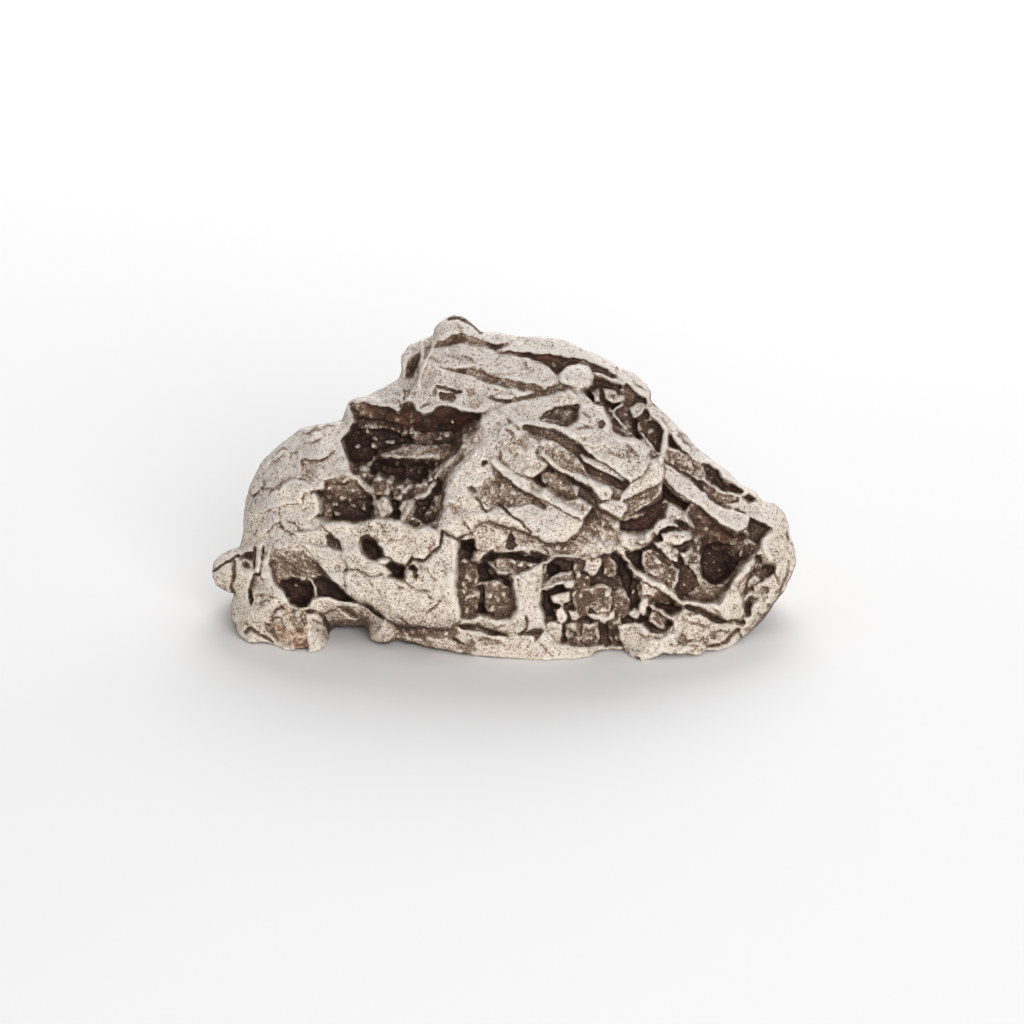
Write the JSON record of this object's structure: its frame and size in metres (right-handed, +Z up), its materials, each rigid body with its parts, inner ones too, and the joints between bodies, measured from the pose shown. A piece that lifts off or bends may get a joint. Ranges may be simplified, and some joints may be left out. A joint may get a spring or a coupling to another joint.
{
  "type": "iron meteorite",
  "caption": "Small rugged lump of natural iron with torn plates, rounded ridges, thin blades and deep dark hollows, lying on a flat underside.",
  "frame": {"origin": "middle of the bottom of the bounding box, on the surface that the lump rests on", "axes": "+Z up, +X to the right along the lump's length, -Y towards the front"},
  "size_m": [0.0364, 0.0191, 0.0186],
  "materials": {
    "iron": "worn bright on the raised faces, brown-grey oxide in the hollows"
  },
  "bodies": {
    "root": {"meteorite": "iron"}
  },
  "joints": []
}
